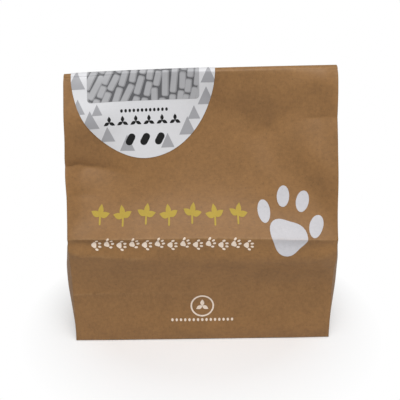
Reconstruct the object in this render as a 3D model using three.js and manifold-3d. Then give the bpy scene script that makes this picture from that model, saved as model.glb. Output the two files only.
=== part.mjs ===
// A filled and sealed block-bottom paper bag with side gussets, and its paper label.
// The mouth is folded over to the back, and the label is stuck over the fold, front and back.
// Millimetres. The base stands on z = 0, the front faces -Y, and +X is the right of the front.

import * as THREE from 'three';
import { mergeVertices } from 'three/addons/utils/BufferGeometryUtils.js';
import Module from 'manifold-3d';

// The bag's paper, by its folds
const panelWidth = 240; // front and back panels, side fold to side fold
const gussetWidth = 98; // each side gusset laid flat, which is also the depth of the base
const bagHeight = 249; // base to the folded top, at its high right end
const topSkew = 7.3; // how much lower the fold's left end is

// The filling, which swells the block below and leaves the bag slack above
const fillHeight = 104; // the level of the pellets, where the panels crease and turn inwards
const panelSwell = 4.5; // how far the pellets push the front and back panels out
const gussetSwell = 10; // how far they would push a gusset out, were it not held at both ends
const leanPower = 0.78; // above the filling the side folds lean in, most near the mouth
const evenShare = 0.63; // at mid-width the panels lean in by this share almost evenly,
const evenPower = 1.5;
const shoulderPower = 8; // and by the rest in a shoulder just above the filling

// The closed mouth, folded over once to the back
const mouthThickness = 2.8; // front, two gusset layers and back, pressed together
const flapLength = 40; // from the top fold down to the mouth's edge
const flapGap = 0.8; // between the flap and the back panel, at the fold
const flapSpring = 2; // how much more the mouth's edge springs off
const pressedShut = 3; // the height over which the side folds close under the roll
const rollRoot = 6; // how far the roll's layers run down into the bag's own

// The label, half of it on the front and half on the back
const labelWidth = 126;
const labelDrop = 79; // from the top fold down to the label's lowest point
const labelCentre = -50.5; // across the bag, from its middle
const labelThickness = 0.4;
const glueGap = 0.3; // between the label and the paper under it
const labelBridge = 12; // how far below the mouth's edge the label meets the back panel

// How finely the paper is divided
const panelSteps = 16;
const gussetSteps = 8;
const blockSteps = 12;
const neckSteps = 26;
const rollSteps = 8;
const flapSteps = 8;
const labelColumns = 14;
const frontRows = 20;
const backRows = 10;

const kraftPaper = new THREE.MeshStandardMaterial({ color: '#926e4a', roughness: 0.85, metalness: 0 });
const whitePaper = new THREE.MeshStandardMaterial({ color: '#cececf', roughness: 0.6, metalness: 0 });

const panelHalf = panelWidth / 2;
const gussetHalf = gussetWidth / 2;
const mouthHalf = mouthThickness / 2;
const rollRadius = mouthThickness + flapGap / 2;
const rollCentre = mouthHalf + flapGap / 2;
const neckHeight = bagHeight - rollRadius;
const mouthEdge = bagHeight - flapLength;

const steps = (from, to, count, ease = (t) => t) =>
  Array.from({ length: count + 1 }, (_, i) => from + (to - from) * ease(i / count));

// How far up the slack part a height is: 0 at the filling's level and 1 at the neck
const slackShare = (z) => THREE.MathUtils.clamp((z - fillHeight) / (neckHeight - fillHeight), 0, 1);

// Half of the bag's depth at its side folds
function halfDepth(z) {
  return mouthHalf + (gussetHalf - mouthHalf) * (1 - slackShare(z)) ** leanPower;
}

// How far a panel stands out past its side folds at the filling's level, and sags in above it
function swell(x, z) {
  const left = 1 - slackShare(z);
  const full = panelSwell * THREE.MathUtils.smoothstep(z, 0, fillHeight) * left ** 3;
  const middle = evenShare * left ** evenPower + (1 - evenShare) * left ** shoulderPower;
  const slack = (gussetHalf - mouthHalf) * (middle - left ** leanPower);
  const out = Math.abs(x / panelHalf);
  return full * (1 - out ** 2.2) + slack * (1 - out ** (2.2 + 3.8 * left ** 2));
}

// A gusset keeps its paper width, so it tucks in as the side folds draw together
function tuck(z) {
  const shut = Math.min(1, (neckHeight - z) / pressedShut);
  return Math.sqrt(Math.max(0, gussetHalf ** 2 - halfDepth(z) ** 2)) * shut;
}

// Below the filling's level it is pushed out instead, most a little over half-way up the block
function bellyOut(z) {
  const share = Math.min(1, z / fillHeight);
  return gussetSwell * (1 - (1 - share) ** 3.2) * (1 - share ** 6);
}

const frontAt = (x, z) => -halfDepth(z) - swell(x, z);
const backAt = (x, z) => halfDepth(z) + swell(x, z);

// The flap lies along the back panel and springs off towards the mouth's edge
function flapInside(x, z) {
  const down = Math.max(0, (neckHeight - z) / (neckHeight - mouthEdge));
  return backAt(x, z) + flapGap + flapSpring * down ** 2;
}

const flapOutside = (x, z) => flapInside(x, z) + mouthThickness;

// The fold isn't level: the slack part drops towards its left end
function settled(x, y, z) {
  const toLeft = (panelHalf - x) / panelWidth;
  const rise = Math.max(0, (z - fillHeight) / (bagHeight - fillHeight));
  return new THREE.Vector3(x, y, z - topSkew * toLeft * rise ** 2);
}

// One level of the bag's outline, counter-clockwise seen from above
function bagRing(z) {
  const depth = halfDepth(z);
  const across = steps(-panelHalf, panelHalf, panelSteps);
  const around = steps(-1, 1, gussetSteps).slice(1, -1);
  const gussetX = (v) => panelHalf + bellyOut(z) * (1 - Math.abs(v) ** 3) - tuck(z) * (1 - Math.abs(v));
  return [
    ...across.map((x) => settled(x, frontAt(x, z), z)),
    ...around.map((v) => settled(gussetX(v), v * depth, z)),
    ...across.map((x) => settled(-x, backAt(-x, z), z)),
    ...around.map((v) => settled(-gussetX(v), -v * depth, z)),
  ];
}

// Rings of equal count stacked upwards, closed by a fan at each end
function stack(rings) {
  const count = rings[0].length;
  const top = rings.length - 1;
  const middle = (ring) => ring.reduce((sum, p) => sum.add(p), new THREE.Vector3()).divideScalar(count);
  const points = [...rings.flat(), middle(rings[0]), middle(rings[top])];
  const index = [];
  for (let j = 0; j < count; j++) {
    const next = (j + 1) % count;
    for (let i = 0; i < top; i++) {
      const low = i * count;
      const high = low + count;
      index.push(low + j, low + next, high + next, low + j, high + next, high + j);
    }
    index.push(points.length - 2, next, j);
    index.push(points.length - 1, top * count + j, top * count + next);
  }
  return closedMesh(points, index);
}

// A sheet with thickness, from two grids of points: rows run on, columns run to the right
function slab(outer, inner) {
  const rows = outer.length;
  const columns = outer[0].length;
  const points = [...outer.flat(), ...inner.flat()];
  const out = (r, c) => r * columns + c;
  const into = (r, c) => rows * columns + out(r, c);
  const index = [];
  const quad = (a, b, c, d) => index.push(a, b, c, a, c, d);
  for (let r = 0; r < rows - 1; r++) {
    for (let c = 0; c < columns - 1; c++) {
      quad(out(r, c), out(r, c + 1), out(r + 1, c + 1), out(r + 1, c));
      quad(into(r, c), into(r + 1, c), into(r + 1, c + 1), into(r, c + 1));
    }
    const last = columns - 1;
    quad(out(r, 0), out(r + 1, 0), into(r + 1, 0), into(r, 0));
    quad(out(r + 1, last), out(r, last), into(r, last), into(r + 1, last));
  }
  for (let c = 0; c < columns - 1; c++) {
    const last = rows - 1;
    quad(out(0, c + 1), out(0, c), into(0, c), into(0, c + 1));
    quad(out(last, c), out(last, c + 1), into(last, c + 1), into(last, c));
  }
  return closedMesh(points, index);
}

function closedMesh(points, index) {
  const geometry = new THREE.BufferGeometry().setFromPoints(points);
  geometry.setIndex(index);
  return geometry;
}

// The bag up to its neck, with the tucked gussets as folds in its sides
function bagBody() {
  const block = steps(0, fillHeight, blockSteps);
  const slack = steps(fillHeight, neckHeight - pressedShut, neckSteps, (t) => t ** 1.25).slice(1);
  return stack([...block, ...slack, neckHeight].map(bagRing));
}

// The mouth's layers, rolled over the top and lying down the back
function mouthFlap() {
  const across = steps(-panelHalf, panelHalf, panelSteps);
  const turns = steps(0, Math.PI, rollSteps);
  const down = steps(neckHeight, mouthEdge, flapSteps).slice(1);
  const line = (rootY, radius, lying) => [
    across.map((x) => settled(x, rootY, neckHeight - rollRoot)),
    ...turns.map((a) => across.map((x) =>
      settled(x, rollCentre - radius * Math.cos(a), neckHeight + radius * Math.sin(a)))),
    ...down.map((z) => across.map((x) => settled(x, lying(x, z), z))),
  ];
  return slab(line(-mouthHalf, rollRadius, flapOutside), line(mouthHalf, flapGap / 2, flapInside));
}

// Where the label runs: up the front, over the roll, down the flap, over its edge and onto the back
function labelPath() {
  const tip = bagHeight - labelDrop;
  const nearTip = (t) => Math.sin(t * Math.PI / 2);
  const nearBoth = (t) => (1 - Math.cos(t * Math.PI)) / 2;
  const landing = mouthEdge - labelBridge;
  const at = (yAt) => (z) => ({ z, yAt: (x) => yAt(x, z) });
  const turn = (a) => ({
    z: neckHeight + rollRadius * Math.sin(a),
    yAt: () => rollCentre - rollRadius * Math.cos(a),
  });
  const bridgeAt = (x, z) => {
    const share = (mouthEdge - z) / labelBridge;
    return THREE.MathUtils.lerp(flapOutside(x, mouthEdge), backAt(x, landing), share);
  };
  return [
    ...steps(tip, neckHeight, frontRows, nearBoth).slice(0, -1).map(at(frontAt)),
    ...steps(0, Math.PI, rollSteps).map(turn),
    ...steps(neckHeight, mouthEdge, flapSteps).slice(1).map(at(flapOutside)),
    ...steps(mouthEdge, landing, 3).slice(1).map(at(bridgeAt)),
    ...steps(landing, tip, backRows, nearTip).slice(1).map(at(backAt)),
  ];
}

// An oval sheet on that path, lifted off the paper by the given distance
function labelGrid(path, lift) {
  const tipShare = 0.9995;
  const columns = steps(-1, 1, labelColumns);
  return path.map((here, i) => {
    const before = path[Math.max(0, i - 1)];
    const after = path[Math.min(path.length - 1, i + 1)];
    const drop = Math.min(tipShare, (bagHeight - here.z) / labelDrop);
    const halfWidth = labelWidth / 2 * Math.sqrt(1 - drop ** 2);
    return columns.map((share) => {
      const x = labelCentre + share * halfWidth;
      const along = new THREE.Vector2(after.yAt(x) - before.yAt(x), after.z - before.z).normalize();
      return settled(x, here.yAt(x) - lift * along.y, here.z + lift * along.x);
    });
  });
}

function foldedLabel() {
  const path = labelPath();
  return slab(labelGrid(path, glueGap + labelThickness), labelGrid(path, glueGap));
}

// Joins closed geometries into one solid
async function joined(...parts) {
  const wasm = await Module();
  wasm.setup();
  const solid = parts.map((geometry) => {
    const merged = mergeVertices(geometry);
    return new wasm.Manifold(new wasm.Mesh({
      numProp: 3,
      vertProperties: merged.attributes.position.array,
      triVerts: new Uint32Array(merged.index.array),
    }));
  }).reduce((whole, part) => whole.add(part));
  const mesh = solid.getMesh();
  const geometry = new THREE.BufferGeometry();
  geometry.setAttribute('position', new THREE.BufferAttribute(mesh.vertProperties, 3));
  geometry.setIndex(new THREE.BufferAttribute(mesh.triVerts, 1));
  return geometry;
}

function named(name, geometry, material) {
  geometry.computeVertexNormals();
  const mesh = new THREE.Mesh(geometry, material);
  mesh.name = name;
  return mesh;
}

const litterBag = new THREE.Group();
litterBag.add(named('paper_bag', await joined(bagBody(), mouthFlap()), kraftPaper));
litterBag.add(named('top_label', foldedLabel(), whitePaper));

export default litterBag;
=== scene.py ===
"""A filled kraft paper litter bag with side gussets, its mouth folded back under an oval label.

Lengths are in millimetres until a mesh is made. The frame is the part's own: the base stands on
z = 0, the front faces -Y, and +X is the right of the front.
"""

from __future__ import annotations

import logging
import math
from dataclasses import dataclass, field, replace
from enum import Enum
from typing import Callable, Sequence

import bmesh
import bpy
import numpy as np
from mathutils import Matrix, Vector

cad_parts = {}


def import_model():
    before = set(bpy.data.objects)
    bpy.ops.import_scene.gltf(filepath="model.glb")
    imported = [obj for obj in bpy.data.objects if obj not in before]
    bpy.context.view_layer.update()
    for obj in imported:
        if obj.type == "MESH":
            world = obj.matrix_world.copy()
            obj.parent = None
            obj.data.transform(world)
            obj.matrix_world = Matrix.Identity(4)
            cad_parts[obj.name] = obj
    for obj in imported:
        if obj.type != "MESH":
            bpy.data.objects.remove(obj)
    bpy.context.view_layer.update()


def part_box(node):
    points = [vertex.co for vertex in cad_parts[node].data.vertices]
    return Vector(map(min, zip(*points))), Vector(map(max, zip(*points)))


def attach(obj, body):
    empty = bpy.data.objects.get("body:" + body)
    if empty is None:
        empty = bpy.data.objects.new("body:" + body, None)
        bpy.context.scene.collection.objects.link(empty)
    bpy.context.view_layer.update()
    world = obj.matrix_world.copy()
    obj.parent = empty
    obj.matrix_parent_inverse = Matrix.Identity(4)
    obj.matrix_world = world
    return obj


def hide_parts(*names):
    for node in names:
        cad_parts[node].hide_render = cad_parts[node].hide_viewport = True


MM = 0.001
LOG = logging.getLogger("litter_bag")
SHARP_ANGLE = math.radians(38)
NOISE_LATTICE = 64
THREE_WAYS = (90.0, 210.0, 330.0)
DOT_CORNERS = 12


def smooth(t: np.ndarray | float) -> np.ndarray:
    """An even rise from 0 to 1 as t goes from 0 to 1, flat at both ends."""
    t = np.clip(t, 0.0, 1.0)
    return t * t * (3.0 - 2.0 * t)


def bell(distance: np.ndarray | float, width: float) -> np.ndarray:
    """A hump of height 1 at no distance, which falls away on both sides over its width."""
    return np.exp(-((distance / width) ** 2))


def value_noise(x: np.ndarray, z: np.ndarray, grain: float, seed: int) -> np.ndarray:
    """Smooth random heights on a plane.

    Args:
        x: First coordinate of each point.
        z: Second coordinate of each point.
        grain: Distance between neighbouring hills.
        seed: Picks the pattern.

    Returns:
        Heights from -1 to 1.
    """
    size = NOISE_LATTICE
    lattice = np.random.default_rng(seed).uniform(-1.0, 1.0, (size, size))
    u, v = x / grain + size / 2, z / grain + size / 2
    i, j = np.floor(u).astype(int), np.floor(v).astype(int)
    fu, fv = smooth(u - i), smooth(v - j)
    low = lattice[i % size, j % size] * (1 - fu) + lattice[(i + 1) % size, j % size] * fu
    high = lattice[i % size, (j + 1) % size] * (1 - fu) + lattice[(i + 1) % size, (j + 1) % size] * fu
    return low * (1 - fv) + high * fv


@dataclass(frozen=True)
class Crease:
    """A fold line on a panel that stands out, or is sunk if its height is negative."""

    start: tuple[float, float]
    end: tuple[float, float]
    height: float
    above: float
    below: float
    fade: float = 14.0
    tip: float = 0.6
    most_wear: float = 0.4
    wear_width: float = 0.8

    def across(self, x: np.ndarray, z: np.ndarray) -> tuple[np.ndarray, np.ndarray]:
        """Where points lie against the line.

        Args:
            x: Positions across the panel.
            z: Heights up the panel.

        Returns:
            The signed distance over the line, and how strong the fold is there, from 0 to 1.
        """
        run = np.array(self.end) - np.array(self.start)
        length = float(np.hypot(*run))
        run = run / length
        along = (x - self.start[0]) * run[0] + (z - self.start[1]) * run[1]
        over = (z - self.start[1]) * run[0] - (x - self.start[0]) * run[1]
        return over, smooth(along / self.fade) * smooth((length - along) / self.fade)

    def lift(self, x: np.ndarray, z: np.ndarray) -> np.ndarray:
        """How far the fold moves the paper outwards.

        Args:
            x: Positions across the panel.
            z: Heights up the panel.

        Returns:
            The outward move at each point.
        """
        over, strength = self.across(x, z)
        reach = np.where(over > 0, self.above, self.below)
        rounded = np.sqrt(over**2 + self.tip**2) - self.tip
        return self.height * strength * np.exp(-rounded / reach)

    def wear(self, x: np.ndarray, z: np.ndarray) -> np.ndarray:
        """How worn the paper is along the fold, from 0 to 1. A sunk fold isn't rubbed."""
        over, strength = self.across(x, z)
        return strength * min(self.most_wear, max(0.0, self.height)) * bell(over, self.wear_width)


@dataclass(frozen=True)
class Swelling:
    """A soft oval hump in a panel, or a hollow if its height is negative."""

    centre: tuple[float, float]
    radii: tuple[float, float]
    height: float
    turn_deg: float = 0.0

    def lift(self, x: np.ndarray, z: np.ndarray) -> np.ndarray:
        """How far the hump moves the paper outwards.

        Args:
            x: Positions across the panel.
            z: Heights up the panel.

        Returns:
            The outward move at each point.
        """
        turn = math.radians(self.turn_deg)
        dx, dz = x - self.centre[0], z - self.centre[1]
        u = (dx * math.cos(turn) + dz * math.sin(turn)) / self.radii[0]
        v = (dz * math.cos(turn) - dx * math.sin(turn)) / self.radii[1]
        return self.height * np.exp(-(u**2 + v**2))


@dataclass(frozen=True)
class Shield:
    """A slack area under the mouth that stands out and ends below in a point.

    Its sides fade out over side_fall, and are gone at side_reach times that from its middle.
    """

    point: tuple[float, float]
    spread: float
    height: float
    edge: float
    side_fall: float = 45.0
    side_reach: float = 1.9

    def lift(self, x: np.ndarray, z: np.ndarray) -> np.ndarray:
        """How far the shield moves the paper outwards.

        Args:
            x: Positions across the panel.
            z: Heights up the panel.

        Returns:
            The outward move at each point.
        """
        side = np.sqrt((x - self.point[0]) ** 2 + self.edge**2) - self.edge
        inside = smooth((z - self.point[1] - side / self.spread) / self.edge + 0.5)
        return self.height * inside * smooth(self.side_reach - np.abs(x - self.point[0]) / self.side_fall)


@dataclass(frozen=True)
class Relief:
    """The folds, hollows and fine waves of one panel or gusset."""

    creases: tuple[Crease, ...]
    swellings: tuple[Swelling | Shield, ...]
    seed: int
    waves: tuple[tuple[float, float], ...] = ((46.0, 0.45), (17.0, 0.18), (6.0, 0.06))

    def lift(self, x: np.ndarray, z: np.ndarray) -> np.ndarray:
        """How far the paper is moved outwards.

        Args:
            x: Positions across the panel.
            z: Heights up the panel.

        Returns:
            The outward move at each point.
        """
        total = np.zeros(np.broadcast(x, z).shape)
        for feature in (*self.creases, *self.swellings):
            total = total + feature.lift(x, z)
        for number, (grain, height) in enumerate(self.waves):
            total = total + height * value_noise(x, z, grain, self.seed + number)
        return total

    def wear(self, x: np.ndarray, z: np.ndarray) -> np.ndarray:
        """How worn the paper is.

        Args:
            x: Positions across the panel.
            z: Heights up the panel.

        Returns:
            The wear at each point, from 0 to 1.
        """
        worn = np.zeros(np.broadcast(x, z).shape)
        for crease in self.creases:
            worn = np.maximum(worn, crease.wear(x, z))
        return worn


FRONT_RELIEF = Relief(
    creases=(
        # The filling's level, sharp at the ends and soft between, and the lobes under its ends
        Crease((-160, 104), (160, 104), 1.6, 8.0, 4.5, tip=1.6),
        Crease((-160, 104), (-20, 104), 0.8, 6.0, 3.0, fade=50, tip=0.4),
        Crease((40, 104), (160, 104), 0.8, 6.0, 3.0, fade=40, tip=0.4),
        Crease((-100, 104), (100, 104), -1.1, 3.0, 3.0, fade=60, tip=0.1),
        Crease((-140, 101), (-20, 100.5), -1.6, 2.2, 7.0, fade=44, tip=0.3),
        Crease((-140, 102), (-104, 87), 4.6, 5.5, 9.0),
        Crease((-128, 91), (-40, 85), 4.0, 7.0, 11.0, fade=26),
        Crease((96, 82), (140, 106), 2.8, 5.0, 14.0),
        # The block bottom's first crease
        Crease((-150, 48.5), (-70, 49.5), 0.5, 2.5, 2.5, fade=40, tip=0.3),
        Crease((-110, 49), (150, 48), 0.12, 2.0, 2.0, fade=30, tip=0.3),
        # Where the side folds buckle inwards
        Crease((-170, 173.5), (-52, 154), -12.0, 30.0, 38.0, fade=46, tip=0.6),
        Crease((-170, 173.5), (-84, 159), -3.2, 5.0, 13.0, fade=34, tip=0.4),
        Crease((-170, 144), (-88, 137), -1.6, 8.0, 10.0, fade=22, tip=0.6),
        Crease((84, 203), (170, 210), -2.8, 7.0, 12.0, fade=24, tip=0.3),
        # The two arms of the slack under the fold, which cross at its point
        Crease((-10, 232), (82, 180), -2.6, 16.0, 60.0, fade=28, tip=2.5),
        Crease((36, 178), (116, 236), -3.0, 13.0, 60.0, fade=22, tip=2.0),
    ),
    swellings=(
        Shield((62, 215), 2.6, 3.4, 36.0),
        Swelling((-104, 209), (30, 18), 5.2),
        Swelling((-112, 241), (24, 16), 3.0),
        Swelling((114, 238), (22, 16), 2.4),
        Swelling((112, 160), (30, 13), 2.5, -48),
        Swelling((96, 144), (30, 14), -2.7, -48),
        Swelling((0, 59), (170, 21), -3.0),
        Swelling((88, 58), (46, 15), -3.4),
        Swelling((30, 84), (100, 9), 2.6),
        Swelling((80, 86), (50, 12), 2.2),
        Swelling((30, 9), (120, 15), 1.6),
        Swelling((14, 33), (130, 19), -2.8),
    ),
    seed=11,
)

BACK_RELIEF = Relief(
    creases=(
        Crease((-160, 103), (160, 106), 2.0, 8.0, 5.0, tip=0.4),
        Crease((-140, 102), (-100, 86), 1.4, 6.0, 10.0),
        Crease((96, 85), (140, 107), 1.5, 6.0, 10.0),
        Crease((-150, 48), (150, 49), 0.25, 2.0, 2.0, fade=30, tip=0.3),
        Crease((-150, 172), (-92, 168), -2.0, 16.0, 8.0, fade=26, tip=0.3),
        Crease((94, 150), (150, 154), -1.8, 14.0, 7.0, fade=26, tip=0.3),
        Crease((-60, 140), (20, 150), -0.5, 10.0, 8.0, fade=30),
    ),
    swellings=(
        Swelling((-60, 170), (40, 26), -1.2, 15),
        Swelling((50, 60), (60, 26), 0.9),
        Swelling((60, 175), (34, 28), -0.9, -20),
    ),
    seed=31,
)

# The block bottom's diagonal creases, which both gussets have
BOTTOM_DIAGONALS = (
    Crease((-62, 0), (0, 62), 0.35, 3.0, 3.0, fade=8, tip=0.3),
    Crease((0, 62), (62, 0), 0.35, 3.0, 3.0, fade=8, tip=0.3),
)

LEFT_GUSSET_RELIEF = Relief(
    creases=(
        *BOTTOM_DIAGONALS,
        Crease((-60, 96), (6, 124), 1.4, 6.0, 9.0, fade=16),
        Crease((-6, 122), (60, 94), 1.2, 6.0, 9.0, fade=16),
        Crease((-40, 78), (10, 88), -0.9, 7.0, 7.0, fade=16),
    ),
    swellings=(Swelling((8, 60), (22, 18), 0.8),),
    seed=51,
)

RIGHT_GUSSET_RELIEF = Relief(
    creases=(
        *BOTTOM_DIAGONALS,
        Crease((-60, 92), (4, 122), 1.3, 6.0, 9.0, fade=16),
        Crease((-4, 124), (60, 98), 1.4, 6.0, 9.0, fade=16),
        Crease((-6, 82), (42, 72), -0.9, 8.0, 6.0, fade=16),
    ),
    swellings=(Swelling((-8, 52), (24, 16), 0.7),),
    seed=71,
)


@dataclass(frozen=True)
class BagForm:
    """The bag's folds and the swell of its filling.

    The height and depth come from the frame. The other sizes are the part's own.
    """

    height: float
    depth_out: float
    panel_half: float = 120.0
    gusset_half: float = 49.0
    fill: float = 104.0
    lean_power: float = 0.78
    even_share: float = 0.63
    even_power: float = 1.8
    shoulder_power: float = 8.0
    full_crown: float = 2.2
    slack_crown: float = 2.0
    slack_crown_low: float = 3.6
    gusset_swell: float = 10.7
    swell_rise: float = 3.2
    swell_fall: float = 6.0
    top_skew: float = 7.3
    top_arch: float = 1.1
    arch_tilt: float = 0.25
    ridge_arch: float = 3.0
    ridge_tilt: float = 1.0
    ridge_reach: float = 42.0
    ridge_foot: float = 40.0
    top_drift: float = -1.2
    side_bulge: float = 1.8
    side_bulge_level: float = 163.0
    side_bulge_reach: float = 20.0
    side_bulge_width: float = 24.0
    mouth_thickness: float = 2.8
    flap_length: float = 40.0
    flap_gap: float = 0.8
    flap_spring: float = 2.0
    flap_wave: float = 0.5
    flap_wave_grain: float = 38.0
    flap_wave_stretch: float = 0.3
    flap_wave_seed: int = 91
    flap_press: float = 0.9
    flap_press_level: float = 190.0
    flap_press_reach: float = 18.0
    pressed_shut: float = 3.0
    label_bridge: float = 12.0
    base_round: float = 1.4
    filled_round: float = 1.5
    slack_round: float = 0.8
    slack_round_level: float = 92.0
    slack_round_reach: float = 20.0
    round_foot: float = 8.0
    round_neck: float = 12.0
    least_round: float = 0.01
    foot_reach: float = 10.0
    fold_free: float = 0.65
    fold_reach: float = 14.0
    layer_ease: float = 0.6
    least_tuck: float = 0.5
    neck_ease: float = 6.0
    seam_at: float = 34.0
    seam_step: float = 0.35
    seam_width: float = 0.8
    seam_foot: float = 3.0

    @classmethod
    def from_frame(cls) -> BagForm:
        """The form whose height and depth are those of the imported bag."""
        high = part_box("paper_bag")[1] / MM
        return cls(height=high.z, depth_out=high.y)

    @property
    def mouth_half(self) -> float:
        """Half of the closed mouth's thickness."""
        return self.mouth_thickness / 2

    @property
    def roll_radius(self) -> float:
        """The outside radius of the roll over the top."""
        return self.mouth_thickness + self.flap_gap / 2

    @property
    def roll_centre(self) -> float:
        """How far behind the bag's middle plane the roll's axis lies."""
        return self.mouth_half + self.flap_gap / 2

    @property
    def neck(self) -> float:
        """The height at which the roll begins."""
        return self.height - self.roll_radius

    @property
    def mouth_edge(self) -> float:
        """The height of the flap's lower edge."""
        return self.height - self.flap_length

    @property
    def roll_quarter(self) -> float:
        """The length of paper over a quarter of the roll."""
        return self.roll_radius * math.pi / 2

    @property
    def run_folds(self) -> tuple[float, ...]:
        """Where the outer paper bends sharply, as distances along it."""
        return (self.front_run(self.fill), -self.roll_quarter, 0.0, self.roll_quarter)

    def slack_share(self, z: np.ndarray) -> np.ndarray:
        """How far up the slack part a height is, from 0 at the filling to 1 at the neck."""
        return np.clip((z - self.fill) / (self.neck - self.fill), 0.0, 1.0)

    def under_neck(self, z: np.ndarray) -> np.ndarray:
        """How far a height is below the neck's pressed edge, from 0 at the neck to 1."""
        return smooth((self.neck - z) / self.neck_ease)

    def half_depth(self, z: np.ndarray) -> np.ndarray:
        """Half of the bag's depth at its side folds."""
        lean = (1.0 - self.slack_share(z)) ** self.lean_power
        return self.mouth_half + (self.gusset_half - self.mouth_half) * lean

    def swell(self, x: np.ndarray, z: np.ndarray) -> np.ndarray:
        """How far a panel stands out past its side folds.

        Args:
            x: Positions across the panel.
            z: Heights up the panel.

        Returns:
            The outward move at each point.
        """
        left = 1.0 - self.slack_share(z)
        full = (self.depth_out - self.gusset_half) * smooth(z / self.fill) * left**3
        middle = self.even_share * left**self.even_power + (1.0 - self.even_share) * left**self.shoulder_power
        slack = (self.gusset_half - self.mouth_half) * (middle - left**self.lean_power)
        out = np.abs(x / self.panel_half)
        crown = self.slack_crown + self.slack_crown_low * left**5
        return full * (1.0 - out**self.full_crown) + slack * (1.0 - out**crown)

    def tuck(self, z: np.ndarray) -> np.ndarray:
        """How far a gusset's middle fold is drawn in."""
        shut = np.minimum(1.0, (self.neck - z) / self.pressed_shut)
        return np.sqrt(np.maximum(0.0, self.gusset_half**2 - self.half_depth(z) ** 2)) * shut

    def belly(self, z: np.ndarray) -> np.ndarray:
        """How far the filling pushes a gusset out.

        Args:
            z: Heights up the gusset.

        Returns:
            The outward move at each height.
        """
        share = np.minimum(1.0, z / self.fill)
        risen = 1.0 - (1.0 - share) ** self.swell_rise
        return self.gusset_swell * risen * (1.0 - share**self.swell_fall)

    def free(self, x: np.ndarray, z: np.ndarray) -> np.ndarray:
        """How free the paper is to buckle: not at the base, and less at a side fold."""
        inwards = smooth((self.panel_half - np.abs(x)) / self.fold_reach)
        return smooth(z / self.foot_reach) * (self.fold_free + (1.0 - self.fold_free) * inwards)

    def fold_round(self, x: np.ndarray, z: np.ndarray) -> np.ndarray:
        """How far a panel curves back at its side folds, more where the filling rounds them.

        Args:
            x: Positions across the panel.
            z: Heights up the panel.

        Returns:
            The inward move at each point.
        """
        slack = smooth((z - self.slack_round_level) / self.slack_round_reach)
        radius = self.filled_round + (self.slack_round - self.filled_round) * slack
        radius = radius * smooth(z / self.round_foot) * smooth((self.neck - z) / self.round_neck)
        radius = radius + self.least_round
        share = np.clip(1.0 - (self.panel_half - np.abs(x)) / radius, 0.0, 1.0)
        return radius * (1.0 - np.sqrt(1.0 - share**2))

    def roll(self, x: np.ndarray, radius: float, turn: np.ndarray) -> tuple[np.ndarray, np.ndarray]:
        """Depths and heights of the roll over the top.

        Args:
            x: Positions across the bag.
            radius: The layer's radius, from half the flap's gap to that of the outer paper.
            turn: How far round the roll, from 0 at the front to half a turn at the back.

        Returns:
            The depths and the heights, the front layers standing off as the panel below them does.
        """
        outer = (radius - self.flap_gap / 2) / self.mouth_thickness
        stand_off = FRONT_RELIEF.lift(x, self.neck) * self.free(x, self.neck) * outer
        y = self.roll_centre - radius * np.cos(turn) - stand_off * np.maximum(0.0, np.cos(turn))
        return y, self.neck + radius * np.sin(turn)

    def panel_depth(
        self, relief: Relief, x: np.ndarray, z: np.ndarray, held: np.ndarray | float
    ) -> np.ndarray:
        """How far a buckled panel is from the bag's middle plane.

        Args:
            relief: The panel's folds.
            x: Positions across the panel.
            z: Heights up the panel.
            held: How much of its relief a panel keeps, from 0 to 1.

        Returns:
            The depths, eased outwards where the panel would meet the gusset layer tucked in behind it.
        """
        x, z = (np.asarray(a, float) for a in np.broadcast_arrays(x, z))
        fold = np.where(x < 0, -self.panel_half, self.panel_half)
        depth = self.half_depth(z) + self.swell(x, z) + relief.lift(x, z) * self.free(x, z) * held
        at_fold = self.half_depth(z) + relief.lift(fold, z) * self.free(fold, z) * held
        into = (self.panel_half - np.abs(x)) / np.maximum(self.tuck(z), self.least_tuck)
        layer = at_fold * np.maximum(0.0, 1.0 - into)
        ease = self.layer_ease * self.under_neck(z)
        eased = 0.5 * (depth + layer + np.sqrt((depth - layer) ** 2 + ease**2))
        return eased - self.fold_round(x, z)

    def front_y(self, x: np.ndarray, z: np.ndarray) -> np.ndarray:
        """The front panel's place."""
        return -self.panel_depth(FRONT_RELIEF, x, z, 1.0)

    def back_y(self, x: np.ndarray, z: np.ndarray) -> np.ndarray:
        """The back panel's place, with the step of its lengthwise seam.

        Args:
            x: Positions across the panel.
            z: Heights up the panel.

        Returns:
            The depth at each point.
        """
        under_neck = self.under_neck(z)
        step = self.seam_step * smooth((x - self.seam_at) / self.seam_width)
        seam = step * under_neck * smooth(z / self.seam_foot)
        pressed = self.flap_press * smooth((z - self.flap_press_level) / self.flap_press_reach)
        return self.panel_depth(BACK_RELIEF, x, z, (1.0 - pressed) * under_neck) - seam

    def flap_inside_y(self, x: np.ndarray, z: np.ndarray) -> np.ndarray:
        """The flap's face towards the back panel.

        Args:
            x: Positions across the panel.
            z: Heights up the panel.

        Returns:
            The depth at each point.
        """
        down = np.maximum(0.0, (self.neck - z) / (self.neck - self.mouth_edge))
        stretched = z * self.flap_wave_stretch
        waves = self.flap_wave * value_noise(x, stretched, self.flap_wave_grain, self.flap_wave_seed) * down
        lying = self.half_depth(z) + self.swell(x, z)
        return lying + self.flap_gap + (self.flap_spring + waves) * down**2

    def flap_outside_y(self, x: np.ndarray, z: np.ndarray) -> np.ndarray:
        """The flap's outer face."""
        return self.flap_inside_y(x, z) + self.mouth_thickness

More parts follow.
